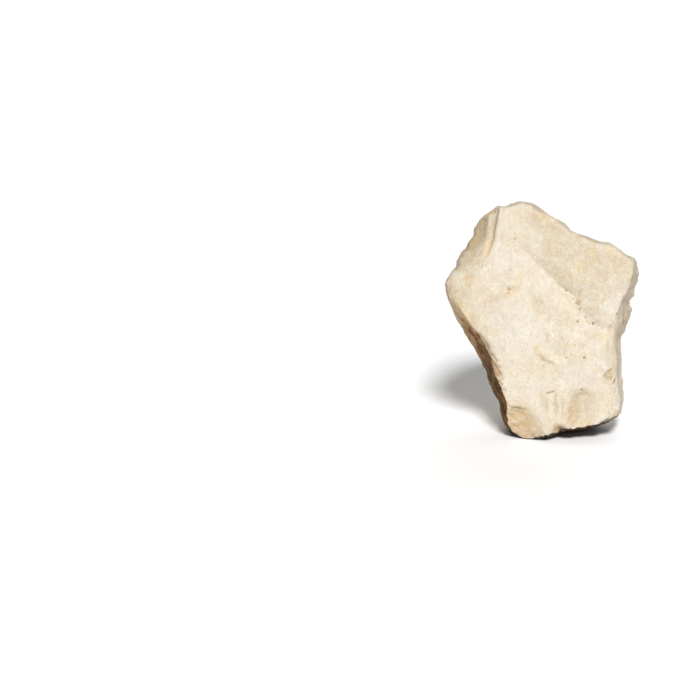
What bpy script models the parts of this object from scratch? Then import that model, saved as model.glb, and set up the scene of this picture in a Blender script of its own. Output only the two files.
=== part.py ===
"""A lump of raw kaolin: one solid stone that stands on a small flat spot.

Lengths are in millimetres up to the last step, which scales to metres. The lump is drawn
in a frame that leans back: X runs to the right across its broad face, Y goes from that
face into the stone, and Z climbs the face. Its surface is found along rays from a point
inside it, as the nearest of its walls, its broken faces and the shells knocked off it.
It is then stood up and cut flat at the foot.
"""

import math

import bmesh
import bpy
import numpy as np
from mathutils import Matrix, Vector, noise

MM = 0.001

# The whole lump
LEAN_DEG = 15.0  # how far the drawing frame leans back from upright
HEART = np.array([0.0, 0.0, 90.0])  # a point that sees the whole surface
FAR = 140.0  # farther from the heart than any of the surface
GIRTH_DEPTH = -4.0  # Y of the widest section
FOOT_POINT = (-27.0, -1.0)  # Y and Z where the foot's front edge meets the floor
EDGE_ROUND = 2.0  # how far edges are worn round
WORN_OFF = 0.6  # what that takes off the widest section, and is added to it first
SPHERE_LEVEL = 7  # fineness of the ball that the surface is found on
HALVINGS = 20  # how often the search along a ray halves its span
SMOOTHINGS = 4
SMOOTHING = 0.5  # how far each smoothing moves a point towards its neighbours
KEPT_FACES = 0.12  # share of the faces left after thinning
CLAY_COLOUR = (0.78, 0.69, 0.54, 1.0)
CLAY_ROUGHNESS = 0.9

# The outline of the widest section, clockwise from the peak: X, Z, and how far the edge
# of the broad face lies inside it
OUTLINE = [
    (-13.5, 178.0, 0.5),
    (-8.5, 177.0, 0.5),
    (16.5, 161.0, 0.5),
    (22.5, 155.5, 0.5),
    (41.5, 148.0, 0.5),
    (51.0, 146.5, 0.5),
    (58.5, 141.0, 0.5),
    (70.0, 135.0, 0.5),
    (73.5, 125.5, 3.0),
    (72.5, 116.5, 5.5),
    (68.5, 107.5, 6.5),
    (67.0, 97.0, 9.0),
    (64.0, 84.0, 8.0),
    (60.5, 76.0, 6.0),
    (60.0, 61.5, 5.5),
    (61.0, 43.0, 5.0),
    (61.5, 31.0, 3.0),
    (59.5, 18.0, 0.5),
    (51.0, 13.0, 0.5),
    (29.5, 7.0, 0.5),
    (20.0, 6.0, 0.5),
    (9.0, 2.0, 0.5),
    (4.0, 0.0, 0.5),
    (-8.5, -1.0, 0.5),
    (-16.0, -0.5, 1.0),
    (-22.5, 4.0, 2.0),
    (-27.5, 11.5, 3.5),
    (-30.0, 20.5, 5.0),
    (-34.5, 37.0, 7.0),
    (-42.0, 52.0, 9.0),
    (-49.5, 66.5, 9.5),
    (-57.0, 79.0, 8.5),
    (-63.5, 90.0, 6.5),
    (-69.5, 104.0, 4.0),
    (-72.0, 115.0, 1.5),
    (-69.5, 120.5, 0.5),
    (-64.5, 127.5, 0.5),
    (-62.0, 136.5, 0.5),
    (-55.0, 147.5, 0.5),
    (-46.5, 163.0, 0.5),
    (-40.0, 169.0, 0.5),
    (-33.5, 172.0, 0.5),
    (-23.5, 176.0, 0.5),
]
OUTLINE_STEP = math.radians(0.5)
SIDE_SAMPLES = 40  # points taken along each side of the outline

# In front of the widest section the wall draws in by the inset and by a share of its
# reach. Behind it, it draws in more in some places than others, its corners go soft and
# its flutes wander
FRONT_TAPER = 0.033
DRAW_IN = (0.19, 0.07)  # mean share of the depth, and how far waves round it change that
DRAW_IN_WAVES = (3, 0.6)  # how many, and where they start in radians
SOFT_CORNER = 61  # outline steps that a corner is spread over
SOFT_DEPTH = 22.0  # depth at which the corners are soft
SOFT_INSET = 1.5
WANDER = 0.06  # radians
WANDER_DEPTH = (3.0, 25.0)
STEEP_FLUTES = (11.0, 23.0)  # how far apart they are along Y and Z, over two pi
SLANT_FLUTES = (17.0, -19.0)  # and along X and Y

# The broad face: its depth at the heart, and how fast it recedes along X and Z
FACE_DEPTH = -44.0
FACE_SLOPE_X = 0.05
FACE_SLOPE_Z = -0.12

# A valley crosses the upper right of the face, along two straight stretches: a point on
# each, and the direction across it. The face rolls over into it from the lower left, and
# past its crisp bottom climbs out again, over a wedge that narrows to the right
VALLEY_LINES = [((31.0, 95.0), (0.715, 0.699)), ((31.0, 91.0), (0.338, 0.941))]
VALLEY_DEPTH = 2.6
VALLEY_ROLL = 17.0
VALLEY_END = 92.0  # Z
VALLEY_SPREAD = 0.48  # width of the wedge for each millimetre above the valley's end
VALLEY_LEAST = 3.0  # its least width
VALLEY_FADE = (130.0, 160.0)  # Z over which the valley dies out
VALLEY_WOBBLE_X = (1.2, 0.31, 0.0)  # its lines waver along X: height, radians per mm, start
VALLEY_WOBBLE_Z = (0.8, 0.23, 1.0)  # and along Z

# Hollows in the broad face: X, Z, half width, half height, tilt in degrees, depth, and
# whether the rim is soft
HOLLOWS = {
    "foot_scar": (-18.0, 4.0, 20.5, 21.5, 0.0, 8.5, False),
    "thumb": (31.5, 19.0, 12.5, 19.0, -6.0, 3.2, False),
    "flute_left": (2.0, 24.0, 3.2, 13.0, 0.0, 0.9, True),
    "flute_middle": (9.0, 23.0, 3.0, 12.0, 0.0, 0.9, True),
    "flute_right": (15.0, 22.0, 2.6, 12.0, 0.0, 0.8, True),
    "notch": (14.5, 4.0, 6.5, 6.5, 0.0, 6.0, False),
    "left_valley": (-31.0, 114.0, 27.0, 12.0, 30.0, 1.2, True),
    "rib_hollow": (-1.5, 98.0, 7.0, 15.0, 20.0, 1.2, True),
    "middle_dimple": (12.0, 66.0, 13.0, 9.0, -25.0, 0.7, True),
    "right_chip": (53.0, 48.0, 5.0, 9.0, -30.0, 1.6, False),
}

# Broken faces: outward direction, and distance from the heart
BROKEN_FACES = {
    "left_shoulder": ((-0.42, -0.90, 0.05), 66.5),
    "top_edge": ((0.42, -0.48, 0.77), 87.0),
    "back": ((0.10, 0.96, 0.26), 34.0),
    "back_left": ((-0.70, 0.70, -0.12), 50.0),
    "back_right": ((0.70, 0.71, -0.05), 53.0),
    "back_top": ((-0.10, 0.70, 0.71), 62.5),
    "back_top_right": ((0.46, 0.60, 0.65), 62.5),
    "back_top_left": ((-0.56, 0.58, 0.59), 67.5),
    "back_low": ((0.05, 0.55, -0.83), 78.8),
    "back_low_left": ((-0.62, 0.50, -0.60), 66.0),
    "back_low_right": ((0.60, 0.58, -0.55), 74.5),
}

# Bites at the top left, each the wedge outside two such faces
BITES = {
    "left_scar": [((-0.89, -0.38, 0.235), 68.5), ((-0.60, -0.70, 0.40), 79.5)],
    "left_bench": [((-0.97, -0.12, 0.17), 50.7), ((-0.30, -0.94, 0.18), 69.2)],
}

# Shells of stone knocked off the sides and the back
SHELLS = 40
SHELL_RADIUS = (26.0, 85.0)
SHELL_DEPTH = (1.0, 3.6)
SHELL_TILT = 0.04
SHELL_FRONT_LIMIT = 0.25  # no shell starts where a ray's Y is below this
SHELL_SEED = 11

# Waves of the broken surface: wavelength and height
WAVES = [(46.0, 3.0), (16.0, 1.1)]
QUIET_GIRTH = (4.0, 28.0)  # depths from the widest section over which waves set in


def smooth_max(values, width):
    """The largest of the values at each point, rounded where two are within width."""
    highest = values[0]
    for value in values[1:]:
        blend = np.clip(0.5 + 0.5 * (value - highest) / width, 0.0, 1.0)
        highest = highest + (value - highest) * blend + width * blend * (1.0 - blend)
    return highest


def ramp(value, low, high):
    """0 below low, 1 above high, and smooth between them."""
    share = np.clip((value - low) / (high - low), 0.0, 1.0)
    return share * share * (3.0 - 2.0 * share)


def unit(vectors):
    vectors = np.asarray(vectors, dtype=float)
    return vectors / np.linalg.norm(vectors, axis=-1, keepdims=True)


def outline_table():
    """Angles about the heart, with the outline's reach and inset at each."""
    points = np.array(OUTLINE)
    share = np.linspace(0.0, 1.0, SIDE_SAMPLES, endpoint=False)[:, None, None]
    dense = points + (np.roll(points, -1, axis=0) - points) * share
    dense = dense.transpose(1, 0, 2).reshape(-1, 3)
    across, up = dense[:, 0] - HEART[0], dense[:, 1] - HEART[2]
    angles = np.arctan2(up, across)
    order = np.argsort(angles)
    grid = np.arange(-math.pi, math.pi, OUTLINE_STEP)
    reach = np.interp(grid, angles[order], np.hypot(across, up)[order], period=math.tau)
    inset = np.interp(grid, angles[order], dense[order, 2], period=math.tau)
    return grid, reach, inset


def spread_round(values, count):
    """The values of a closed ring, each averaged with its neighbours."""
    weights = np.hanning(count) / np.hanning(count).sum()
    size = len(values)
    return np.convolve(np.tile(values, 3), weights, "same")[size : 2 * size]


GRID, REACH, INSET = outline_table()
SOFT_REACH = spread_round(REACH, SOFT_CORNER) - SOFT_INSET


def round_ring(angle, values):
    """What the outline's table holds at each angle."""
    return np.interp(angle, GRID, values, period=math.tau)


def side_wall(x, y, z):
    """Distance outside the wall that runs round the stone."""
    ahead = np.clip(GIRTH_DEPTH - y, 0.0, None) / (GIRTH_DEPTH - FACE_DEPTH)
    behind = np.clip(y - GIRTH_DEPTH, 0.0, None)
    angle = np.arctan2(z - HEART[2], x - HEART[0])
    steep = np.sin(y / STEEP_FLUTES[0] + z / STEEP_FLUTES[1])
    slant = np.sin(x / SLANT_FLUTES[0] + y / SLANT_FLUTES[1])
    bent = angle + WANDER * (steep + slant) * ramp(behind, *WANDER_DEPTH)
    inset = round_ring(angle, INSET)
    sharp = np.minimum(round_ring(angle, REACH), round_ring(bent, REACH))
    soft = np.minimum(round_ring(angle, SOFT_REACH), round_ring(bent, SOFT_REACH))
    softness = ramp(behind, 0.0, SOFT_DEPTH)
    mean, change = DRAW_IN
    count, start = DRAW_IN_WAVES
    draw_in = mean + change * np.sin(count * angle + start)
    reach = WORN_OFF + sharp + (soft - sharp) * softness - draw_in * behind
    reach = reach - (inset + FRONT_TAPER * sharp) * ahead
    return np.hypot(x - HEART[0], z - HEART[2]) - reach


def hollow(x, z, across, up, half_width, half_height, tilt, depth, soft):
    """How deep one hollow is at each point of the broad face."""
    turn = math.radians(tilt)
    sideways = (x - across) * math.cos(turn) + (z - up) * math.sin(turn)
    upwards = (z - up) * math.cos(turn) - (x - across) * math.sin(turn)
    share = 1.0 - (sideways / half_width) ** 2 - (upwards / half_height) ** 2
    share = np.clip(share, 0.0, 1.0)
    return depth * share**2 if soft else depth * share


def wobble(along, height, pace, start):
    return height * np.sin(pace * along + start)


def broad_face(x, z):
    """Y of the broad face."""
    plane = FACE_DEPTH + FACE_SLOPE_X * x + FACE_SLOPE_Z * (z - HEART[2])
    across = [(x - a) * p + (z - b) * q for (a, b), (p, q) in VALLEY_LINES]
    across = np.minimum(*across) + wobble(x, *VALLEY_WOBBLE_X) + wobble(z, *VALLEY_WOBBLE_Z)
    width = np.clip(VALLEY_SPREAD * (z - VALLEY_END), VALLEY_LEAST, None)
    before = np.clip(1.0 + across / VALLEY_ROLL, 0.0, 1.0) ** 2
    after = np.clip(1.0 - across / width, 0.0, 1.0)
    valley = VALLEY_DEPTH * np.where(across < 0.0, before, after)
    depth = plane + valley * (1.0 - ramp(z, *VALLEY_FADE))
    for shape in HOLLOWS.values():
        depth = depth + hollow(x, z, *shape)
    return depth


def outside(points, shells=()):
    """Roughly how far each point is outside the lump, negative inside it."""
    x, y, z = points.T
    limits = [side_wall(x, y, z), broad_face(x, z) - y]
    for direction, distance in BROKEN_FACES.values():
        limits.append((points - HEART) @ unit(direction) - distance)
    for faces in BITES.values():
        depths = [(points - HEART) @ unit(direction) - distance for direction, distance in faces]
        limits.append(np.minimum(*depths))
    for centre, radius in shells:
        limits.append(radius - np.linalg.norm(points - centre, axis=1))
    return smooth_max(limits, EDGE_ROUND)


def surface_points(rays, shells=()):
    """The point where each ray from the heart leaves the lump."""
    near = np.zeros(len(rays))
    far = np.full(len(rays), FAR)
    for _ in range(HALVINGS):
        middle = (near + far) / 2
        within = outside(HEART + rays * middle[:, None], shells) < 0
        near = np.where(within, middle, near)
        far = np.where(within, far, middle)
    return HEART + rays * near[:, None]


def outward(points):
    """The direction that the surface faces at each point on it."""
    nudges = np.eye(3)
    return unit(np.stack([outside(points + n) - outside(points - n) for n in nudges], axis=1))


def knocked_off():
    """Balls that leave shallow shell-shaped scars on the sides and the back."""
    random = np.random.default_rng(SHELL_SEED)
    rays = unit(random.normal(size=(4 * SHELLS, 3)))
    points = surface_points(rays[rays[:, 1] > SHELL_FRONT_LIMIT][:SHELLS])
    shells = []
    for point, facing in zip(points, outward(points)):
        radius = random.uniform(*SHELL_RADIUS)
        facing = unit(facing + random.normal(scale=SHELL_TILT, size=3))
        shells.append((point + facing * (radius - random.uniform(*SHELL_DEPTH)), radius))
    return shells


def wave(point):
    """How far the broken surface stands out at a point."""
    height = sum(size * noise.noise(point / length) for length, size in WAVES)
    return height * float(ramp(abs(point.y - GIRTH_DEPTH), *QUIET_GIRTH))


def stand_up(shape):
    """Tip the lump upright, cut its foot flat at Z = 0 and centre it over the origin."""
    lean = math.radians(LEAN_DEG)
    foot_y, foot_z = FOOT_POINT
    floor = foot_z * math.cos(lean) - foot_y * math.sin(lean)
    shape.transform(Matrix.Translation((0.0, 0.0, -floor)) @ Matrix.Rotation(-lean, 4, "X"))
    parts = shape.verts[:] + shape.edges[:] + shape.faces[:]
    bmesh.ops.bisect_plane(
        shape, geom=parts, plane_co=(0, 0, 0), plane_no=(0, 0, 1), clear_inner=True
    )
    rim = [edge for edge in shape.edges if edge.is_boundary]
    bmesh.ops.edgeloop_fill(shape, edges=rim)
    spans = [(min(side), max(side)) for side in zip(*(v.co.xy for v in shape.verts))]
    (left, right), (front, back) = spans
    middle = Vector(((left + right) / 2, (front + back) / 2, 0.0))
    shape.transform(Matrix.Scale(MM, 4) @ Matrix.Translation(-middle))


def lump_mesh():
    shape = bmesh.new()
    bmesh.ops.create_icosphere(shape, subdivisions=SPHERE_LEVEL, radius=1.0)
    rays = unit([vertex.co for vertex in shape.verts])
    points = surface_points(rays, knocked_off())
    for vertex, ray, point in zip(shape.verts, rays, points):
        vertex.co = point + ray * wave(Vector(point))
    for _ in range(SMOOTHINGS):
        bmesh.ops.smooth_vert(
            shape, verts=shape.verts, factor=SMOOTHING, use_axis_x=True, use_axis_y=True, use_axis_z=True
        )
    stand_up(shape)
    mesh = bpy.data.meshes.new("kaolin_lump")
    shape.to_mesh(mesh)
    shape.free()
    mesh.shade_smooth()
    return mesh


def clay():
    material = bpy.data.materials.new("kaolin")
    material.use_nodes = True
    shader = material.node_tree.nodes["Principled BSDF"]
    shader.inputs["Base Color"].default_value = CLAY_COLOUR
    shader.inputs["Roughness"].default_value = CLAY_ROUGHNESS
    shader.inputs["Metallic"].default_value = 0.0
    return material


def main():
    for old in list(bpy.data.objects):
        bpy.data.objects.remove(old)
    lump = bpy.data.objects.new("kaolin_lump", lump_mesh())
    lump.data.materials.append(clay())
    bpy.context.scene.collection.objects.link(lump)
    thin = lump.modifiers.new("fewer_faces", "DECIMATE")
    thin.ratio = KEPT_FACES


main()
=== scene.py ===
# A raw lump of kaolin clay stone: its broken, chalky skin, a pale floor, soft light and the camera.
import math

import bmesh
import bpy
import numpy as np
from mathutils import Matrix, Vector, noise


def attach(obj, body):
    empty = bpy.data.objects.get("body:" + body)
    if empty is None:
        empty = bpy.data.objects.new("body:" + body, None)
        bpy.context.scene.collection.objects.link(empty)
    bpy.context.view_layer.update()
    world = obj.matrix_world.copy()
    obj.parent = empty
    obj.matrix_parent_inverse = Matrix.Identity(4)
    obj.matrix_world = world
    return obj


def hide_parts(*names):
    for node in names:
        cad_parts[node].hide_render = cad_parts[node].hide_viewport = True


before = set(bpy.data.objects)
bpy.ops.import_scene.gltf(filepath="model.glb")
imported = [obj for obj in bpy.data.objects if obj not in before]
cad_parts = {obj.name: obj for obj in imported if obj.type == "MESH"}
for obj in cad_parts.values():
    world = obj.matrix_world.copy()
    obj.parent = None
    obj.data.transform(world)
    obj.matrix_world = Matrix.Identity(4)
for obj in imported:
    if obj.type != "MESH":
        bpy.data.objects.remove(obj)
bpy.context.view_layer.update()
mm = 0.001

viewSetup = {
    "heart": (-0.75, 0.0, 83.5),  # mm, the point of the lump that the view is fixed to
    "heartPixel": (541, 318),     # where the heart shows, from the image's top left corner
    "heartHeight": 90,            # mm of the lump's face below the heart, along the face
    "imageSide": 700,             # px, the image is square
    "mmPerPixel": 0.75,           # at the heart
    "distance": 1500,             # mm from the camera to the heart
    "lookDown": 15,               # degrees
    "sensor": 36,                 # mm
    "clip": (0.05, 50),           # m
}

lookDown = math.radians(viewSetup["lookDown"])
sight = np.array((0, math.cos(lookDown), -math.sin(lookDown)))  # the camera's line to the heart
faceUp = np.array((0, math.sin(lookDown), math.cos(lookDown)))  # up, square to that line


def eyePoint():
    return np.array(viewSetup["heart"]) - sight * viewSetup["distance"]


def makeCamera():
    half = viewSetup["imageSide"] / 2
    across = viewSetup["heartPixel"][0] - half
    up = half - viewSetup["heartPixel"][1]
    pixels = viewSetup["distance"] / viewSetup["mmPerPixel"]
    focal = math.sqrt(pixels**2 - across**2 - up**2)
    ray = Vector((across, up, -focal)).normalized()  # to the heart, in the camera's own axes
    rise = (Vector((0, 1, 0)) - ray * ray.y).normalized()
    own = Matrix((ray, rise, ray.cross(rise)))
    wanted = Matrix((sight, faceUp, np.cross(sight, faceUp)))
    data = bpy.data.cameras.new("view")
    data.sensor_width = viewSetup["sensor"]
    data.lens = focal / viewSetup["imageSide"] * viewSetup["sensor"]
    data.clip_start, data.clip_end = viewSetup["clip"]
    camera = bpy.data.objects.new("view", data)
    camera.location = Vector(eyePoint()) * mm
    camera.rotation_euler = (wanted.transposed() @ own).to_euler()
    bpy.context.scene.collection.objects.link(camera)
    bpy.context.scene.camera = camera


makeCamera()
print("camera placed")


def ease(value, low, high):  # 0 at low, 1 at high, eased at both ends
    t = np.clip((value - low) / (high - low), 0, 1)
    return t * t * (3 - 2 * t)


def seenAt(points):  # mm right of the heart and up the face, as the camera sees them
    ray = points - eyePoint()
    zoom = viewSetup["distance"] / (ray @ sight)
    return ray[:, 0] * zoom, ray @ faceUp * zoom + viewSetup["heartHeight"]


def farBehind(points):  # mm behind the heart, along the camera's line
    return (points - eyePoint()) @ sight - viewSetup["distance"]


def clouds(points, size, octaves=3, shift=0.0):  # soft noise of about -1 to 1; size in mm
    return np.array([
        noise.fractal(Vector(p), 1.0, 2.0, octaves, noise_basis="PERLIN_ORIGINAL")
        for p in points / size + shift
    ])


def lineGap(u, v, line):  # mm to the left of a line (right is negative), and share along it
    gap = np.full(len(u), np.inf)
    along = np.zeros(len(u))
    run = 0
    for (u0, v0), (u1, v1) in zip(line, line[1:]):
        du, dv = u1 - u0, v1 - v0
        length = math.hypot(du, dv)
        t = np.clip(((u - u0) * du + (v - v0) * dv) / length**2, 0, 1)
        offU, offV = u - u0 - t * du, v - v0 - t * dv
        here = np.hypot(offU, offV) * np.where(du * offV - dv * offU < 0, -1, 1)
        nearer = np.abs(here) < np.abs(gap)
        gap = np.where(nearer, here, gap)
        along = np.where(nearer, run + t * length, along)
        run += length
    return gap, along / run


def oval(u, v, centre, size, turn=0):  # 0 at the middle of an oval, 1 on its rim
    turn = math.radians(turn)
    du, dv = u - centre[0], v - centre[1]
    across = (du * math.cos(turn) + dv * math.sin(turn)) / size[0]
    up = (dv * math.cos(turn) - du * math.sin(turn)) / size[1]
    return np.hypot(across, up)


lump = {
    "grid": 1.36,         # mm between the points of the new skin, and half of that on its front
    "frontFacing": 0.15,  # share that a part must turn to the camera to count as front
    "fineShare": 0.75,    # share of the grid below which a point's edges count as fine
    "softening": 3,       # rounds that take the CAD facets off
    "footHeight": 2.5,    # mm above the floor over which carving sets in
}


def splitFront(mesh):
    grid = bmesh.new()
    grid.from_mesh(mesh)
    toCamera = -Vector(sight)
    facing = [face for face in grid.faces if face.normal.dot(toCamera) > lump["frontFacing"]]
    cuts = sorted({edge.index for face in facing for edge in face.edges})
    grid.edges.ensure_lookup_table()
    bmesh.ops.subdivide_edges(grid, edges=[grid.edges[i] for i in cuts], cuts=1, use_grid_fill=True)
    for face in grid.faces:
        face.smooth = True
    grid.to_mesh(mesh)
    grid.free()


def makeSkin():
    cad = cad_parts["kaolin_lump"]
    draft = bpy.data.objects.new("draft", cad.data.copy())
    bpy.context.scene.collection.objects.link(draft)
    remesh = draft.modifiers.new("grid", "REMESH")
    remesh.mode = "VOXEL"
    remesh.voxel_size = lump["grid"] * mm
    remesh.use_smooth_shade = True
    soften = draft.modifiers.new("soften", "SMOOTH")
    soften.iterations = lump["softening"]
    graph = bpy.context.evaluated_depsgraph_get()
    mesh = bpy.data.meshes.new_from_object(draft.evaluated_get(graph))
    bpy.data.objects.remove(draft)
    mesh.materials.clear()
    splitFront(mesh)
    skin = bpy.data.objects.new("kaolin_stone", mesh)
    bpy.context.scene.collection.objects.link(skin)
    return skin


def readPoints(mesh):  # mm
    values = np.empty(len(mesh.vertices) * 3, np.float32)
    mesh.vertices.foreach_get("co", values)
    return values.reshape(-1, 3).astype(float) / mm


def readNormals(mesh):
    values = np.empty(len(mesh.vertices) * 3, np.float32)
    mesh.vertex_normals.foreach_get("vector", values)
    return values.reshape(-1, 3).astype(float)


def readEdges(mesh):
    ends = np.empty(len(mesh.edges) * 2, np.int32)
    mesh.edges.foreach_get("vertices", ends)
    return ends.reshape(-1, 2)


def setPoints(mesh, points):
    mesh.vertices.foreach_set("co", (points * mm).astype(np.float32).ravel())
    mesh.update()


def averageNeighbours(values, edges, rounds):
    count = np.bincount(edges.ravel(), minlength=len(values))[:, None]
    for _ in range(rounds):
        total = np.zeros_like(values)
        for axis in range(values.shape[1]):
            total[:, axis] = np.bincount(edges[:, 0], values[edges[:, 1], axis], len(values))
            total[:, axis] += np.bincount(edges[:, 1], values[edges[:, 0], axis], len(values))
        values = total / count
    return values


stone = makeSkin()
points = readPoints(stone.data)
edges = readEdges(stone.data)
spans = np.linalg.norm(points[edges[:, 0]] - points[edges[:, 1]], axis=1)
meanSpan = np.bincount(edges.ravel(), np.repeat(spans, 2), len(points)) / np.bincount(edges.ravel())
finePoint = (meanSpan < lump["fineShare"] * lump["grid"])[:, None]


def averageWithin(values, reach):  # mm; the fine front needs more rounds than the rest
    fine = averageNeighbours(values, edges, max(1, round((2 * reach / lump["grid"]) ** 2)))
    coarse = averageNeighbours(values, edges, max(1, round((reach / lump["grid"]) ** 2)))
    return np.where(finePoint, fine, coarse)


def bulge(points, normals, reach):  # mm that the skin stands out from what lies within the reach
    return ((points - averageWithin(points, reach)) * normals).sum(1)


points = np.where(finePoint, averageNeighbours(points, edges, 1), points)
setPoints(stone.data, points)
normals = readNormals(stone.data)
print("skin of", len(points), "points")

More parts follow.
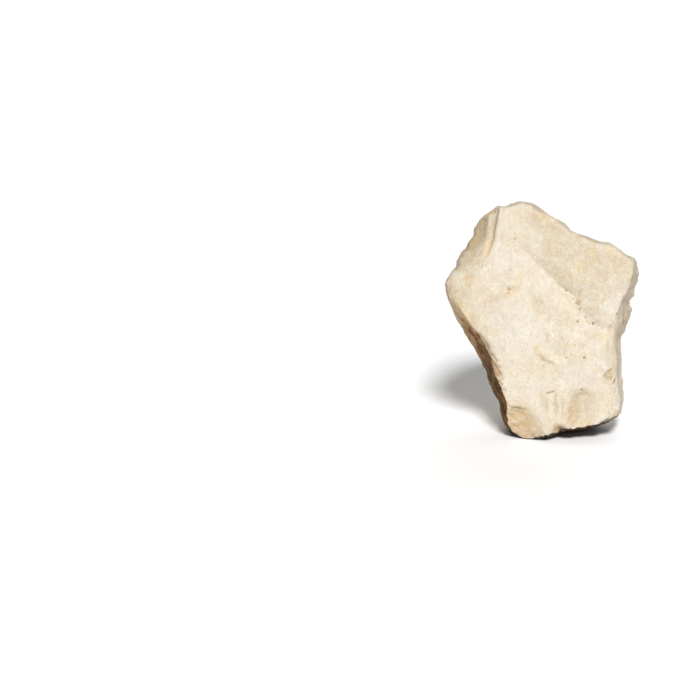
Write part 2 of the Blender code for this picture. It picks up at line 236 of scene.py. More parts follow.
# Places are (right, up) in mm as the camera sees the face. A fade gives the shares of a line over
# which a break sets in at its start and dies away at its end.
breaks = {
    # Nudges move the outline: right, up, half width, half height, then mm to the right and mm up.
    "nudges": {
        "top": (-25, 176, 10, 10, 0.6, -0.9),
        "right": (70, 120, 12, 22, -1.3, 0),
        "rightCorner": (67, 138, 9, 7, -1.0, -0.8),
        "rightLow": (61, 50, 10, 32, -1.0, 0),
        "footRight": (40, 8, 26, 10, 0, -0.5),
        "leftCorner": (-66, 131, 8, 8, 1.1, -1.0),
        "leftShoulder": (-57, 145, 9, 8, 1.4, -1.4),
        "scarTop": (-40, 171, 7, 6, 0, -1.2),
        "peakRight": (-11, 177, 12, 8, 0, -1.0),
        "scarCorner": (-31.5, 172, 5, 6, 0, 1.1),
        "leftLow": (-45, 62, 22, 50, 0.7, 0),
        "leftHip": (-38, 37, 11, 15, -2.0, 0),
        "footMiddle": (20, 6, 9, 8, 0, 0.3),
        "leftNotch": (-53, 152, 6, 7, 1.9, 0),
        "leftStep": (-62, 137, 6, 5.5, 1.1, 0),
        "rightNotch": (67, 102.5, 9, 7, -2.4, 0),
        "rightWaist": (60, 76, 9, 10, -1.0, 0),
        "rightBelow": (66, 84, 8, 6, -1.8, 0),
    },
    # Ledges drop on the left of their line, over their wall, and their floor climbs back to the old
    # face over their reach.
    "ledges": {
        "scarWall": {"line": [(-41, 131.5), (-38.3, 137.3), (-36, 143.3), (-34.5, 150),
                              (-33.4, 156), (-31.9, 162.8), (-30.8, 168), (-30.5, 177)],
                     "drop": 2.4, "wall": 2.0, "reach": 10.5, "fade": (0.3, 0.0)},
        "footTop": {"line": [(-7.3, 21.5), (-13.6, 22.6), (-16.3, 23.8), (-20, 23.8), (-27, 24.4)],
                    "drop": 1.2, "wall": 1.0, "reach": 20, "fade": (0.5, 0.0)},
        "chip": {"line": [(54, 53), (51.3, 52.6), (48.6, 50), (46, 46.8), (47.5, 44), (50.5, 41)],
                 "drop": 1.0, "wall": 1.5, "reach": 7, "fade": (0.1, 0.1)},
        "flankEdge": {"line": [(-24.9, 18), (-25.5, 26.3), (-27.5, 32), (-31.2, 41), (-34.9, 49.4),
                               (-36.9, 58.9), (-39.8, 65.7), (-43.6, 72.6), (-46.4, 77.9),
                               (-49.8, 81), (-54, 88), (-62.4, 100)],
                      "drop": 1.1, "wall": 0.8, "reach": 8, "fade": (0.1, 0.3)},
        "sliverTop": {"line": [(-38.2, 64), (-34.6, 58), (-31.6, 54.5)],
                      "drop": 1.3, "wall": 0.7, "reach": 2.4, "fade": (0.2, 0.3)},
        "sliverMiddle": {"line": [(-36.2, 57), (-33.2, 50.5), (-29, 44.5)],
                         "drop": 1.3, "wall": 0.7, "reach": 2.4, "fade": (0.2, 0.3)},
        "sliverLow": {"line": [(-32.6, 43.5), (-30.6, 40), (-28.6, 37.4)],
                      "drop": 1.2, "wall": 0.7, "reach": 2.0, "fade": (0.2, 0.3)},
    },
    # Slopes fall away on the left of their line by so many mm for each mm.
    "slopes": {
        "scarSide": {"line": [(-49, 132), (-47.2, 138), (-44.4, 146), (-42.8, 152), (-41.9, 160),
                              (-41.7, 167), (-42, 174)],
                     "tilt": 0.5, "reach": 5, "fade": (0.5, 0.0)},
        "rightSide": {"line": [(69, 126), (66.4, 118.5), (64.2, 111), (63.2, 105), (61.4, 101),
                               (57.6, 96.5), (54.4, 91), (54, 86), (53.4, 81), (52.7, 75),
                               (52.5, 70), (52, 64), (51.8, 58)],
                      "tilt": 1.0, "reach": 3.5, "fade": (0.1, 0.15)},
        "rightLow": {"line": [(52.3, 68), (51.6, 56), (53, 47), (53.8, 38), (53, 28), (53, 18),
                              (54, 10)],
                     "tilt": 0.6, "reach": 6, "fade": (0.25, 0.15)},
        "footSide": {"line": [(3.2, 4), (0.6, 11), (-2.6, 19.4)],
                     "tilt": 0.1, "reach": 14, "fade": (0.0, 0.3)},
    },
    # Creases are a V whose two sides have their own widths.
    "creases": {
        "valley": {"line": [(-18, 146.5), (-12, 141), (-4.5, 133.4), (3.4, 125), (8.7, 120.2),
                            (12.9, 116), (16.5, 112.3), (22.9, 107.6), (26, 104.4), (28.1, 100.2)],
                   "depth": 0.95, "left": 11, "right": 3.2, "fade": (0.3, 0.02)},
        "crack": {"line": [(3.0, 32.7), (5.5, 33.4), (9.2, 35.1)],
                  "depth": 0.9, "left": 0.9, "right": 0.9, "fade": (0.3, 0.1)},
        "arc": {"line": [(-2.5, 64), (-0.8, 60.8), (4.5, 56.4), (9.5, 54.8), (14.3, 53.7)],
                "depth": 0.5, "left": 3, "right": 0.9, "fade": (0.2, 0.4)},
        "footGrainTop": {"line": [(-24, 21), (-17, 18.2), (-8, 15.5)],
                         "depth": 0.35, "left": 1.8, "right": 0.8, "fade": (0.1, 0.5)},
        "footGrainMiddle": {"line": [(-25, 17.5), (-18, 13.2), (-9, 8.5)],
                            "depth": 0.35, "left": 1.8, "right": 0.8, "fade": (0.1, 0.5)},
        "footGrainLow": {"line": [(-25.5, 14), (-21, 9.4), (-14.5, 4.5)],
                         "depth": 0.35, "left": 1.8, "right": 0.8, "fade": (0.1, 0.5)},
        "sideCrack": {"line": [(64, 98.5), (62.4, 93), (61.2, 88.5), (60.8, 82)],
                      "depth": 1.3, "left": 1.1, "right": 1.1, "fade": (0.35, 0.3)},
        "flankRim": {"line": [(-65, 106), (-54.5, 90), (-49.5, 83), (-46, 79.5), (-42.5, 73),
                              (-38.5, 66), (-36, 59)],
                     "depth": -0.6, "left": 1.2, "right": 6, "fade": (0.15, 0.15)},  # stands out
        "footRim": {"line": [(12, 5.5), (17, 6.5), (24, 7), (32, 8), (38, 9), (43, 10.5), (47, 13)],
                    "depth": -2.4, "left": 7, "right": 5, "fade": (0.15, 0.2)},  # stands out
        "slit": {"line": [(53.6, 40.2), (54.3, 42), (55.4, 44.8)],
                 "depth": 1.2, "left": 0.9, "right": 0.9, "fade": (0.2, 0.2)},
    },
    # Hollows are soft ovals: right, up, half width, half height, turn in degrees, depth.
    "hollows": {
        "notch": (15, 4.5, 6.5, 7, 0, 3.0),
        "ribHollow": (-1.5, 98, 6, 15, 20, 0.6),
        "spotHollow": (-20, 112, 13, 6, 32, 0.9),
        "middle": (13, 62, 9, 7, -25, 0.8),
        "middleRight": (31, 68, 9, 6, 20, 0.6),
        "flute": (10.9, 25, 2.6, 13, 0, 0.6),
        "fluteRight": (16.0, 22, 2.0, 9, 0, 0.35),
        "fluteLeft": (4.0, 23, 3.0, 10, 0, 0.55),
    },
    # Scoops are ovals with a wall on one side, and their floor climbs to the other side. The wall
    # is a share of the oval, and it stands in the direction given in degrees up from the right.
    "scoops": {
        "thumb": {"centre": (30.5, 21), "size": (12.5, 18), "turn": -8, "depth": 3.0, "wall": 0.6,
                  "wallAt": 150},
    },
    # Pits are round: right, up, radius, depth.
    "pits": {
        "valley": [(18.8, 110.5, 0.8, 1.0), (24, 104.2, 0.6, 0.8), (26.4, 100.6, 0.7, 0.7),
                   (28, 100, 0.6, 0.9), (28.4, 96.4, 0.8, 0.8), (29.4, 97.2, 0.5, 0.6),
                   (27.1, 87.2, 0.8, 1.0), (32.9, 90.2, 0.6, 0.9), (34.4, 87.5, 0.7, 0.6),
                   (35.5, 86, 0.6, 0.8), (36.3, 84.6, 0.6, 0.7), (38.4, 85.4, 0.9, 1.0),
                   (43.1, 84.2, 0.6, 0.6), (41, 83.3, 0.5, 0.4)],
        "face": [(-20, 149, 0.7, 0.9), (-26.5, 144, 0.7, 0.5), (-17, 146.5, 0.5, 0.4),
                 (30.2, 36.2, 0.9, 0.9), (18.7, 59.9, 0.7, 0.8), (24.8, 69.2, 0.8, 0.7),
                 (32, 60, 0.8, 1.0), (11.4, 95, 0.6, 0.5), (13.7, 91, 0.6, 0.5),
                 (56.8, 93.1, 0.9, 0.9), (20.6, 72.8, 0.6, 0.5), (-56.5, 115, 0.6, 0.6),
                 (-53.8, 115.6, 0.5, 0.5), (-48, 128, 0.5, 0.4)],
    },
    "creaseCurve": 1.5,         # 1 gives a crease straight sides, more makes it narrower
    "scoopFloor": (-0.7, 1.1),  # shares of a scoop, towards its wall, over which its floor sinks
    "paintedDark": ("crack", "sideCrack", "slit"),  # creases that are pits too, painted dark in them as painted shade
    "creasePitShare": 0.7,          # share of such a crease's depth that is pit
    "wander": 0.7,              # mm by which no break runs quite true
    "wanderSize": 5,            # mm, of those waves
    "pitWander": 0.6,           # share of that by which the pits are pulled out of round
    "facing": (-0.35, -0.05),   # turn to the camera over which carving sets in
    "behind": (5, 30),          # mm behind the heart over which carving ends
}


def fadeEnds(along, fade):  # 1 along a line, easing to 0 over the share given at each end
    head, tail = fade
    start = ease(along, 0, head) if head else 1
    return start * (1 - ease(along, 1 - tail, 1)) if tail else start


def carveLedge(u, v, line, drop, wall, reach, fade):
    gap, along = lineGap(u, v, line)
    return drop * ease(gap, 0, wall) * (1 - ease(gap, wall, reach)) * fadeEnds(along, fade)


def carveSlope(u, v, line, tilt, reach, fade):
    gap, along = lineGap(u, v, line)
    return tilt * np.clip(gap, 0, reach) * fadeEnds(along, fade)


def carveCrease(u, v, line, depth, left, right, fade):
    gap, along = lineGap(u, v, line)
    side = np.where(gap > 0, 1 - gap / left, 1 + gap / right)
    return depth * np.clip(side, 0, 1) ** breaks["creaseCurve"] * fadeEnds(along, fade)


def carveHollow(u, v, right, up, halfWidth, halfHeight, turn, depth):
    return depth * (1 - ease(oval(u, v, (right, up), (halfWidth, halfHeight), turn), 0, 1))


def carveScoop(u, v, centre, size, turn, depth, wall, wallAt):
    du, dv = (u - centre[0]) / size[0], (v - centre[1]) / size[1]
    towardsWall = du * math.cos(math.radians(wallAt)) + dv * math.sin(math.radians(wallAt))
    inside = 1 - ease(oval(u, v, centre, size, turn), 1 - wall, 1)
    return depth * inside * ease(towardsWall, *breaks["scoopFloor"])


aboveFloor = ease(points[:, 2], 0.0, lump["footHeight"])[:, None]
for right, up, halfWidth, halfHeight, moveRight, moveUp in breaks["nudges"].values():
    u, v = seenAt(points)
    share = 1 - ease(oval(u, v, (right, up), (halfWidth, halfHeight)), 0, 1)
    points += np.outer(share, (moveRight, 0, 0)) * aboveFloor
    points += np.outer(share, faceUp * moveUp) * aboveFloor

u, v = seenAt(points)
behindHeart = farBehind(points)
onFront = ease(-(normals @ sight), *breaks["facing"]) * (1 - ease(behindHeart, *breaks["behind"]))
wanderU = breaks["wander"] * clouds(points, breaks["wanderSize"], octaves=2, shift=3.1)
wanderV = breaks["wander"] * clouds(points, breaks["wanderSize"], octaves=2, shift=8.4)
wavy = (u + wanderU, v + wanderV)

inward = sum(carveLedge(*wavy, **ledge) for ledge in breaks["ledges"].values())
inward += sum(carveSlope(*wavy, **slope) for slope in breaks["slopes"].values())
inward += sum(carveCrease(*wavy, **crease) for crease in breaks["creases"].values())
inward += sum(carveHollow(*wavy, *hollow) for hollow in breaks["hollows"].values())
inward += sum(carveScoop(*wavy, **scoop) for scoop in breaks["scoops"].values())
# These creases count as pits, and their pits are painted dark as painted shade.
darkenedCreases = (breaks["creases"][name] for name in breaks["paintedDark"])
pitted = sum(breaks["creasePitShare"] * carveCrease(*wavy, **crease) for crease in darkenedCreases)
pitU, pitV = u + breaks["pitWander"] * wanderV, v - breaks["pitWander"] * wanderU
for right, up, radius, depth in sum(breaks["pits"].values(), []):
    reach = oval(pitU, pitV, (right, up), (radius, radius))
    pitted = np.maximum(pitted, np.exp(-reach**2) * depth)
points += np.outer((inward + pitted) * onFront, sight) * aboveFloor
print("breaks carved")

roughSkin = {
    # Waves and flakes have a size, then a height on the worn face, on the broken sides and on the
    # back, all in mm. Flakes are flat little breaks.
    "waves": {
        "swells": (19, 0.5, 0.8, 1.3),
        "lumps": (6.5, 0.3, 0.45, 0.55),
        "crumbs": (2.4, 0.14, 0.3, 0.3),
    },
    "flakes": {
        "broad": (17, 0.9, 1.3, 3.6),
        "small": (7, 0.25, 0.7, 1.0),
    },
    "flakeSharpness": 9,         # how sharp the creases are where flakes meet
    "wornFacing": (0.3, 0.6),    # turn to the camera over which the worn face sets in
    "backFrom": (4, 30),         # mm behind the heart over which the back sets in
    "bulgeReach": 2.7,           # mm over which a bulge is judged
    "crispness": 0.9,            # share of its bulge by which an edge grows and a hollow deepens
    "crispLimits": (-0.6, 0.8),  # mm of hollow and of bulge beyond which that grows no more
    "chipSize": 4.5,             # mm, of the chips off the edges
    "chipDepth": 1.8,            # mm
    "chipEdge": (0.05, 0.35),    # mm of bulge over which the skin starts to count as an edge
    "runSize": 18,               # mm, of the chipped runs between whole ones
    "runFrom": (-0.25, 0.3),     # lower values lengthen the chipped runs, of about -1 to 1
}


def flatBreaks(points, size):  # random flat facets that meet in dull creases, about -0.5 to 0.5
    heights = np.zeros(len(points))
    for i, p in enumerate(points / size):
        gaps, centres = noise.voronoi(Vector(p))
        total = weights = 0
        for gap, centre in zip(gaps, centres):
            weight = math.exp(-roughSkin["flakeSharpness"] * (gap - gaps[0]))
            tilt = noise.cell_vector(centre * 31)  # the same for all of one flake
            total += weight * tilt.dot(Vector(p) - centre)
            weights += weight
        heights[i] = total / weights
    return heights


worn = ease(-(normals @ sight), *roughSkin["wornFacing"])
back = ease(behindHeart, *roughSkin["backFrom"])


def heightHere(onFace, onSides, onBack):
    return onFace * worn + (1 - worn) * (onSides * (1 - back) + onBack * back)


lift = np.zeros(len(points))
for size, *heights in roughSkin["waves"].values():
    lift += clouds(points, size, octaves=2, shift=size) * heightHere(*heights)
for size, *heights in roughSkin["flakes"].values():
    lift += flatBreaks(points, size) * heightHere(*heights)
setPoints(stone.data, points)
bulging = bulge(points, readNormals(stone.data), roughSkin["bulgeReach"])
lift += roughSkin["crispness"] * np.clip(bulging, *roughSkin["crispLimits"])
chips = np.clip(clouds(points, roughSkin["chipSize"], octaves=2, shift=5.5), 0, 1)
runs = clouds(points, roughSkin["runSize"], octaves=2, shift=9.1)
chips *= ease(runs, *roughSkin["runFrom"])
lift -= roughSkin["chipDepth"] * chips * ease(bulging, *roughSkin["chipEdge"])
points += normals * lift[:, None] * aboveFloor
points[:, 2] = np.maximum(points[:, 2], 0)
setPoints(stone.data, points)
print("skin roughened")

stains = {
    # Spots are soft ovals: right, up, half width, half height, turn in degrees, strength.
    "spots": {
        "rust": [(-32.8, 51, 1.8, 7, 22, 0.5), (-23.6, 112.4, 2.0, 1.4, 30, 0.7),
                 (-24.4, 109.6, 1.3, 1.1, 0, 0.5), (-21, 113.8, 1.4, 1.2, 0, 0.5),
                 (-23.5, 126, 1.8, 1.4, 0, 0.35), (28.2, 105, 1.5, 6.0, -15, 0.4),
                 (40, 87, 1.6, 1.2, 0, 0.4), (16, 75, 0.8, 2.6, 25, 0.3),
                 (52.5, 85, 1.5, 4, 0, 0.3), (-36, 168.5, 2.4, 1.2, 25, 0.5),
                 (1.2, 58.8, 3.0, 0.8, -38, 0.5), (3, 166, 3, 1.6, -25, 0.3),
                 (62, 88, 0.8, 6, -8, 0.2)],
        "honey": [(-47, 156, 6, 12, -27, 0.5), (-56, 138, 7, 12, -30, 0.4),
                  (-61, 129, 5, 7, 0, 0.4), (-18, 13, 14, 14, 30, 0.3),
                  (-50, 150, 7, 16, -27, 0.35), (-18, 116, 5, 3, 20, 0.5),
                  (-39.1, 142.8, 2.6, 6.4, -22, 1.0), (-15, 121, 2.4, 6, -8, 0.55),
                  (-22, 110, 6, 3, 20, 0.5), (-37.5, 168.5, 4, 2.4, 20, 0.75),
                  (-34.5, 162, 1.4, 4, -5, 0.5), (-56, 118, 5, 4, 0, 0.5),
                  (51.5, 141, 4.5, 3.5, -22, 0.6), (36, 87, 4, 2, 0, 0.3),
                  (22, 131, 1.0, 5, -25, 0.5), (25, 123.5, 1.0, 4, -25, 0.6),
                  (28, 116.5, 1.0, 4, -25, 0.6), (52, 78, 4, 5, 0, 0.5), (20, 68, 4, 3, 0, 0.4),
                  (14, 70, 3, 4, 20, 0.35), (-27, 26, 2.5, 1.5, 0, 0.4), (32, 10, 5, 3, 0, 0.5),
                  (-4, 8, 5, 4, -40, 0.5), (30, 128, 5, 5, 0, 0.35), (-1.8, 69, 3.5, 4, 0, 0.5),
                  (47.5, 76.7, 5, 4, 0, 0.6), (39, 140, 4, 7, 0, 0.5),
                  (-53, 121.5, 3.5, 3, -40, 0.6), (3, 166, 6, 4, -30, 0.4),
                  (-10, 14, 9, 8, -20, 0.4), (-58, 96, 4, 10, 35, 0.6)],
        "ochre": [(-70, 112, 3, 8, 12, 0.7), (-65, 97, 3, 12, 30, 1.0), (-58, 87, 4, 8, 38, 0.7),
                  (-51, 83, 4, 8, 40, 0.6), (-44, 73, 4, 8, 35, 0.7), (-38.5, 62, 3, 9, 27, 0.6),
                  (-35, 52, 2.5, 9, 22, 0.7), (-31.5, 42, 2, 8, 20, 0.6), (-27, 30, 2, 9, 12, 0.6),
                  (-16, 11, 12, 12, 30, 0.5), (-22, 6, 7, 8, 30, 0.6), (-66, 116, 2.5, 8, 20, 0.6),
                  (-54, 119, 3, 4, -20, 0.4), (-47, 156, 4, 12, -27, 0.3),
                  (22, 18, 3, 10, -10, 0.35)],
        # Tan is the stone's own stain, and in the thumb scoop and right of the valley line it is
        # painted shade too.
        "tan": [(-50, 89, 5, 5, 0, 0.7), (-16, 12, 9, 12, 35, 0.8), (-10, 3.5, 11, 4, -8, 0.9),
                (-19, 21.5, 6, 2.0, -4, 0.9), (24.5, 19, 5, 12, -12, 0.9),
                (28, 33.5, 8, 3, 12, 0.5), (30, 21, 10, 15, -8, 0.4), (14.5, 6, 6.5, 5, 0, 1.0),
                (24, 4, 6, 2.5, 0, 0.5), (49.6, 47, 3.4, 6, -35, 1.0), (-49, 151, 7, 18, -27, 1.0),
                (-33.6, 158, 1.2, 15, -8, 1.0), (-44, 142, 1.6, 12, -25, 0.7),
                (-54, 131, 8, 8, 0, 0.4), (17, 121, 7, 13, 35, 0.5), (9, 126, 4, 9, 40, 0.45),
                (-3, 165, 6, 3.5, -30, 0.7), (12, 157, 10, 5, -35, 0.6), (25, 148, 8, 5, -20, 0.6),
                (18, 141, 4, 9, 5, 0.45), (38, 128, 12, 12, 0, 0.45), (58, 132, 9, 6, -20, 0.5),
                (5, 74.5, 1.8, 4, 10, 0.7), (-2.8, 64, 2.2, 5, 25, 0.5), (5, 57, 7, 1.6, -20, 0.5),
                (-4, 100, 3, 8, 20, 0.3), (40, 96, 7, 4, -30, 0.5), (-31, 106, 14, 3, 20, 0.35),
                (-56, 104, 5, 9, 30, 0.4), (2, 24, 2, 11, 5, 0.35), (10.9, 26, 1.6, 11, 0, 0.5),
                (16, 22, 1.5, 9, 0, 0.45), (38, 78, 7, 4, 0, 0.3), (30, 141, 15, 9, -20, 0.4),
                (53, 55, 4, 26, 2, 0.45), (-45, 134, 5, 7, -20, 0.5), (-44.5, 131, 1.2, 5, -8, 0.7),
                (-36.8, 157, 3.2, 13, -6, 0.55), (46, 122, 20, 20, -20, 0.37),
                (14, 140, 16, 10, -25, 0.42), (-3, 163, 16, 9, -25, 0.42),
                (-53.5, 138, 7, 8, -30, 0.7), (39, 135, 7, 7, 0, 0.7), (-32, 51, 2.8, 9, 22, 1.0),
                (-63.5, 104, 3, 11, 30, 0.9)],
        "white": [(30, 93, 2, 6, 35, 0.6), (44, 84.5, 8, 1.6, -8, 0.7), (-12, 78, 16, 20, 0, 0.7),
                  (0, 115, 7, 10, -30, 0.6), (12, 102, 8, 8, 0, 0.5), (48, 95, 5, 4, 0, 0.35),
                  (34, 83.5, 6, 2.4, 0, 0.7), (-26, 135, 12, 8, 0, 0.5),
                  (-62, 117, 3.5, 4.5, 0, 0.7), (26, 48, 12, 7, 0, 0.5), (6.8, 26, 1.6, 12, 0, 0.5),
                  (-8, 40, 14, 10, 0, 0.5), (45, 15, 8, 5, 0, 0.4), (-25, 160, 7, 8, 0, 0.5),
                  (60, 32, 4, 18, 0, 0.8), (60, 50, 4.5, 24, 0, 0.8)],
    },
    "rim": (0.4, 1.5),  # shares of an oval over which a spot ends
    "wander": 2,        # how much further than the breaks the spots stray from true
}
ridges = {  # they are paler, partly worn and partly painted highlight, and the hollows between them darker as painted shade
    "reach": 1.9,  # mm, about how wide they are
    "full": 0.25,  # mm of bulge that counts in full
}
flank = {  # brown weathered skin left of this line, on the lower left side, with painted shade that darkens it towards the bottom
    "line": [(-13, -2), (-18, 1.5), (-21.5, 5.5), (-24.3, 11), (-24.8, 18), (-25.2, 26.3),
             (-27.1, 32), (-30.8, 41), (-34.6, 49.4), (-36.6, 58.9), (-39.5, 65.7), (-43.3, 72.6),
             (-46, 77.9), (-49.4, 81), (-53.6, 88), (-62.2, 100), (-68, 113)],
    "edge": 1.0,              # mm over which it sets in
    "behind": (-24, 36),      # mm behind the heart over which it ends
    "topFade": (0.6, 1.0),    # share of the line over which it thins out upwards
    "paleFrom": (0.3, 0.65),  # share of the line over which it pales upwards, as its painted shade lifts
    "ragged": 14,             # mm by which its far side comes and goes
    "raggedSize": 22,         # mm, of those waves
    "raggedTop": 90,          # mm of them that move where it thins out by the whole line
    "raggedPale": 60,         # and where it pales
}
undersideShade = {  # painted shade on the underside, dark where the skin looks down near the floor
    "smoothing": 2.5,           # mm over which the slope is judged
    "facingDown": (0.5, 0.65),  # how steeply the skin looks down where it sets in and is full
    "height": (8, 28),          # mm above the floor over which it thins out
    "ragged": 0.5,              # share of the flank's waves that its top follows
}

normals = readNormals(stone.data)
u, v = seenAt(points)


def patch(spots):  # 1 where a spot covers all
    spotU, spotV = u + stains["wander"] * wanderU, v + stains["wander"] * wanderV
    cover = np.zeros(len(points))
    for right, up, wide, high, turn, strength in spots:
        reach = oval(spotU, spotV, (right, up), (wide, high), turn)
        cover = np.maximum(cover, strength * (1 - ease(reach, *stains["rim"])))
    return cover * onFront


def storeMask(name, values):
    layer = stone.data.attributes.new(name, "FLOAT", "POINT")
    layer.data.foreach_set("value", np.clip(values, -1, 1).astype(np.float32))


for name, spots in stains["spots"].items():
    storeMask(name, patch(spots))
# Where the pits lie, for the painted shade in them.
storeMask("pits", pitted * onFront)
# Bulge over ridges and hollows, for their painted highlight and painted shade.
storeMask("ridges", bulge(points, normals, ridges["reach"]) / ridges["full"])
gap, along = lineGap(u + wanderU, v + wanderV, flank["line"])
ragged = flank["ragged"] * clouds(points, flank["raggedSize"], octaves=3, shift=4.7)
brown = ease(gap, 0, flank["edge"]) * (1 - ease(farBehind(points) + ragged, *flank["behind"]))
storeMask("flank", brown * (1 - ease(along + ragged / flank["raggedTop"], *flank["topFade"])))
# The flank is darker towards its bottom: painted shade over its own brown skin.
storeMask("paleFlank", ease(along + ragged / flank["raggedPale"], *flank["paleFrom"]))
# Painted shade on the underside, where the skin looks down near the floor.
paintedDark = ease(-averageWithin(normals, undersideShade["smoothing"])[:, 2], *undersideShade["facingDown"])
storeMask("undersideShade", paintedDark * (1 - ease(points[:, 2] + undersideShade["ragged"] * ragged, *undersideShade["height"])))
storeMask("broken", 1 - worn)
print("masks stored")


class Wire:  # an output socket; sums with it add Math nodes
    def __init__(self, tree, socket=None):
        self.tree, self.socket = tree, socket

    def add(self, kind, settings=None, inputs=None, output=0):
        node = self.tree.nodes.new("ShaderNode" + kind)
        for name, value in (settings or {}).items():
            setattr(node, name, value)
        shown = [socket for socket in node.inputs if socket.enabled]
        for name, value in (inputs or {}).items():  # an input goes by its name or its number
            named = isinstance(name, str)
            socket = next(s for s in shown if s.name == name) if named else shown[name]
            if isinstance(value, Wire):
                self.tree.links.new(value.socket, socket)
            else:
                socket.default_value = value
        given = [socket for socket in node.outputs if socket.enabled]
        return Wire(self.tree, given[output]) if given else None

    def math(self, operation, *values):
        return self.add("Math", {"operation": operation}, dict(enumerate(values)))

    def __add__(self, other):
        return self.math("ADD", self, other)

    def __radd__(self, other):
        return self.math("ADD", other, self)

    def __sub__(self, other):
        return self.math("SUBTRACT", self, other)

    def __rsub__(self, other):
        return self.math("SUBTRACT", other, self)

    def __mul__(self, other):
        return self.math("MULTIPLY", self, other)

    def __rmul__(self, other):
        return self.math("MULTIPLY", other, self)

    def between(self, low, high):  # 0 at low, 1 at high
        return self.add("MapRange", {"interpolation_type": "SMOOTHSTEP"},
                        {"Value": self, "From Min": low, "From Max": high})

    def blend(self, under, over):  # the colour under, covered by over where this mask is 1
        return self.add("Mix", {"data_type": "RGBA"}, {"Factor": self, "A": under, "B": over})


dimming = 0.92  # share of a paint chip's light that the stone gives back


def paint(red, green, blue):  # a paint chip's numbers as light
    return tuple(dimming * (c / 255) ** 2.2 for c in (red, green, blue)) + (1.0,)


chalk = {
    "colours": {
        "cream": paint(221, 210, 192),
        "white": paint(231, 224, 211),
        "yellow": paint(222, 205, 168),
        "pink": paint(222, 203, 188),
        "tan": paint(192, 168, 130),
        "honey": paint(229, 204, 144),
        "ochre": paint(208, 166, 118),
        "rust": paint(178, 118, 66),
        "umber": paint(88, 70, 50),
        "bark": paint(184, 150, 108),
        "flank": paint(115, 80, 45),
        # the flank's brown in painted shade
        "flankInPaintedShade": paint(69, 47, 27),
        "undersideShade": paint(58, 39, 24),
        "grey": paint(192, 178, 154),
    },
    # Patterns are clouds of about 0.3 to 0.7: size in mm, fineness, how far they are pulled about,
    # and how they are squeezed along each axis.
    "patterns": {
        "broad": (30, 3),
        "mottle": (7, 5, 0.8),
        "blush": (11, 4, 0.5),
        "blotch": (3.2, 4, 0.6),
        "fleck": (2.1, 3, 0.5),
        "streak": (2.2, 3, 0.3, (1.0, 1.0, 0.28)),
        "grain": (1.1, 3),
        "sand": (0.7, 2),
        "seam": (24, 5, 1.2),
        "gritty": (14, 2),
    },
    # Each layer lies over those before it: its colour, the share that it covers all over, the share
    # that a pattern or mask adds, which one that is, its values where that sets in and where it is
    # full, and what the layer keeps to.
    "layers": {
        "stone": [
            ("white", 0, 1, "mottle", 0.4, 0.64),
            ("yellow", 0, 0.35, "broad", 0.42, 0.62),
            ("pink", 0, 0.5, "blush", 0.48, 0.64),
            ("yellow", 0, 0.35, "blotch", 0.54, 0.72),
            ("white", 0, 0.35, "blotch", 0.46, 0.3),
            ("grey", 0.15, 0.6, "broad", 0.38, 0.6, "broken"),
            ("honey", 0, 0.7, "seam", 0.58, 0.7, "broken"),
            ("white", 0.3, 0.6, "blotch", 0.3, 0.7, "white"),
            ("tan", 0.45, 0.5, "blotch", 0.3, 0.7, "tan"),
            ("honey", 0.35, 0.6, "blotch", 0.3, 0.7, "honey"),
            ("ochre", 0.4, 0.5, "blotch", 0.3, 0.7, "ochre"),
            ("rust", 0.25, 0.9, "fleck", 0.35, 0.6, "rust"),
            ("tan", 0, 0.25, "streak", 0.55, 0.68),
            # Hollows between ridges darker as painted shade; ridges paler, partly worn and partly
            # painted highlight.
            ("tan", 0, 0.25, "ridges", -0.1, -0.8),
            ("white", 0, 0.2, "ridges", 0.2, 0.9, "paler"),
            ("tan", 0, 0.3, "fleck", 0.6, 0.72, "coarser"),
            # Painted shade in the pits and in the cracks that count as pits.
            ("umber", 0, 1, "pits", 0.3, 0.9),
            ("tan", 0, 0.35, "grain", 0.58, 0.36, "grainy"),
            ("white", 0, 0.35, "grain", 0.52, 0.7, "grainy"),
            ("bark", 0.3, 0.4, "blotch", 0.3, 0.7, "flankRim"),
        ],
        # The flank's lower part, brown in painted shade.
        "barkInPaintedShade": [("flank", 0, 1, "mottle", 0.4, 0.66)],
        "paleBark": [("bark", 0, 1, "mottle", 0.36, 0.6)],
        "bark": [("bark", 0, 0.4, "grain", 0.52, 0.72)],
        # Painted shade on the underside.
        "undersideDarkening": [("undersideShade", 0.8, 0.4, "blotch", 0.3, 0.7, "undersideShade")],
    },
    "gritty": (0.4, 0.6),        # values of that pattern over which the stone turns gritty
    "grainy": (0.45, 0.4, 0.5),  # how grainy it is all over, and what gritty and coarse places add
    "tanCoarse": 0.7,            # how coarse a tan spot is, where a broken side is 1
    "paler": 0.5,                # how much paler than elsewhere the ridges of the broken sides are, partly as wear and partly as painted highlight
    "flankRim": (0.0, 0.5),      # values of the flank's mask over which its pale rim sets in
    "flankFray": (1.5, 0.75),    # how far the mottle frays the brown skin, and what is taken off
    "flankFrom": (0.3, 0.75),    # values of the frayed mask over which the brown skin sets in
    "grit": (0.6, 0.4),          # shares of grain and sand in the relief
    "fleckRelief": (0.5, 0.4),   # all over, and added on the broken sides
    "reliefHeight": 0.45,        # mm
    "reliefStrength": 0.9,
    "roughness": 0.92,
    "gloss": 0.25,
}


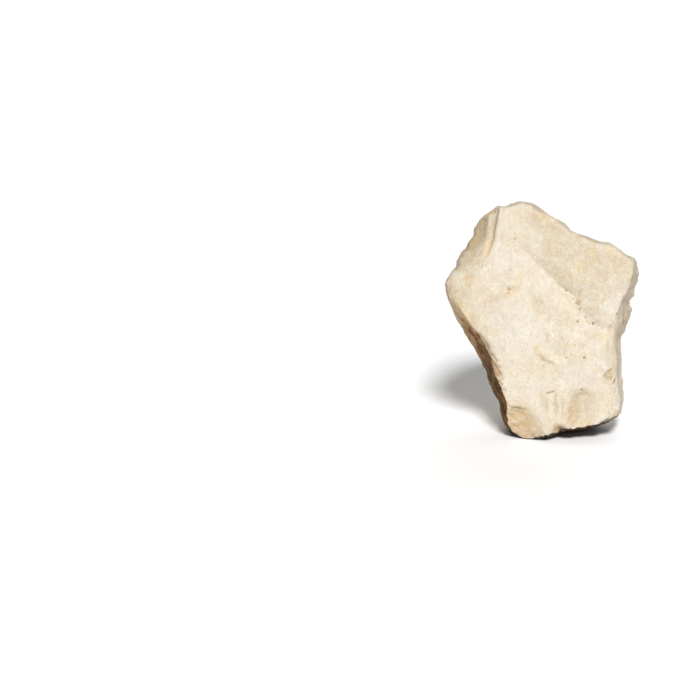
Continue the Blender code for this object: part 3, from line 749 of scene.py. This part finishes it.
def makeChalk():
    material = bpy.data.materials.new("kaolinChalk")
    material.use_nodes = True
    tree = material.node_tree
    tree.nodes.clear()
    start = Wire(tree)
    place = start.add("TexCoord", output=3)  # on the stone itself

    def cloud(size, detail, pull=0.0, squeeze=None):
        where = place
        if squeeze:
            where = start.add("VectorMath", {"operation": "MULTIPLY"}, {0: place, 1: squeeze})
        return start.add("TexNoise", None, {
            "Vector": where, "Scale": 1 / (size * mm), "Detail": detail, "Distortion": pull})

    def mask(name):
        return start.add("Attribute", {"attribute_name": name}, output=2)

    field = {name: cloud(*pattern) for name, pattern in chalk["patterns"].items()}
    for name in [*stains["spots"], "pits", "ridges", "flank", "paleFlank", "undersideShade", "broken"]:
        field[name] = mask(name)
    even, onGritty, onCoarse = chalk["grainy"]
    coarse = field["broken"] + chalk["tanCoarse"] * field["tan"]
    gritty = field["gritty"].between(*chalk["gritty"])
    field["grainy"] = even + onGritty * gritty + onCoarse * coarse
    field["coarser"] = 1 + coarse
    field["paler"] = 1 + chalk["paler"] * field["broken"]
    field["flankRim"] = field["flank"].between(*chalk["flankRim"])

    def lay(colour, name):
        for over, base, more, pattern, low, high, *places in chalk["layers"][name]:
            cover = base + more * field[pattern].between(low, high)
            for where in places:
                cover = cover * field[where]
            colour = cover.blend(colour, chalk["colours"][over])
        return colour

    # The flank in painted shade below, paler above where its own brown shows.
    barkInPaintedShade = lay(chalk["colours"]["flankInPaintedShade"], "barkInPaintedShade")
    paleBark = lay(chalk["colours"]["flank"], "paleBark")
    bark = lay(field["paleFlank"].blend(barkInPaintedShade, paleBark), "bark")
    fray, less = chalk["flankFray"]
    frayed = field["flank"] + fray * field["mottle"] - less
    colour = lay(chalk["colours"]["cream"], "stone")
    colour = frayed.between(*chalk["flankFrom"]).blend(colour, bark)
    # The underside's painted shade lies over all.
    colour = lay(colour, "undersideDarkening")

    grainShare, sandShare = chalk["grit"]
    grit = grainShare * field["grain"] + sandShare * field["sand"]
    fleckEven, fleckBroken = chalk["fleckRelief"]
    flecks = field["fleck"] * (fleckEven + fleckBroken * field["broken"])
    bump = start.add("Bump", None, {
        "Strength": chalk["reliefStrength"], "Distance": chalk["reliefHeight"] * mm,
        "Height": grit * field["grainy"] + flecks})
    shader = start.add("BsdfPrincipled", None, {
        "Base Color": colour, "Roughness": chalk["roughness"],
        "Specular IOR Level": chalk["gloss"], "Normal": bump})
    start.add("OutputMaterial", None, {"Surface": shader})
    return material


stone.data.materials.append(makeChalk())
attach(stone, "root")
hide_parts("kaolin_lump")
print("chalk laid on")

studio = {
    "floorSide": 12,                 # m
    "floorColour": (0.98, 0.98, 0.98, 1),
    "floorRoughness": 0.9,
    "floorGloss": 0.1,
    "keyFrom": (0.12, -0.68, 0.72),  # direction that the main light comes from
    "keyPower": 3.22,                # W per square metre
    "keySoftness": 14,               # degrees across
    "backFrom": (0.15, 0.8, 0.55),
    "backPower": 0.9,
    "backSoftness": 60,
    "fill": 0.175,                   # light from all round
    "fillColour": (1.0, 1.0, 1.0, 1),
}


def makeFloor():
    half = studio["floorSide"] / 2
    corners = [(-half, -half, 0), (half, -half, 0), (half, half, 0), (-half, half, 0)]
    mesh = bpy.data.meshes.new("floor")
    mesh.from_pydata(corners, [], [(0, 1, 2, 3)])
    floor = bpy.data.objects.new("floor", mesh)
    bpy.context.scene.collection.objects.link(floor)
    material = bpy.data.materials.new("palePaper")
    material.use_nodes = True
    shader = material.node_tree.nodes["Principled BSDF"]
    shader.inputs["Base Color"].default_value = studio["floorColour"]
    shader.inputs["Roughness"].default_value = studio["floorRoughness"]
    shader.inputs["Specular IOR Level"].default_value = studio["floorGloss"]
    mesh.materials.append(material)


def makeLamp(name):  # a broad lamp far away
    data = bpy.data.lights.new(name, "SUN")
    data.angle = math.radians(studio[name + "Softness"])
    data.energy = studio[name + "Power"]
    lamp = bpy.data.objects.new(name, data)
    lamp.rotation_euler = Vector(studio[name + "From"]).to_track_quat("Z", "Y").to_euler()
    bpy.context.scene.collection.objects.link(lamp)


def makeWorld():
    world = bpy.data.worlds.new("studio")
    world.use_nodes = True
    sky = world.node_tree.nodes["Background"]
    sky.inputs["Color"].default_value = studio["fillColour"]
    sky.inputs["Strength"].default_value = studio["fill"]
    bpy.context.scene.world = world
    bpy.context.scene.view_settings.view_transform = "Standard"


makeFloor()
makeLamp("key")
makeLamp("back")
makeWorld()
print("floor and light set")
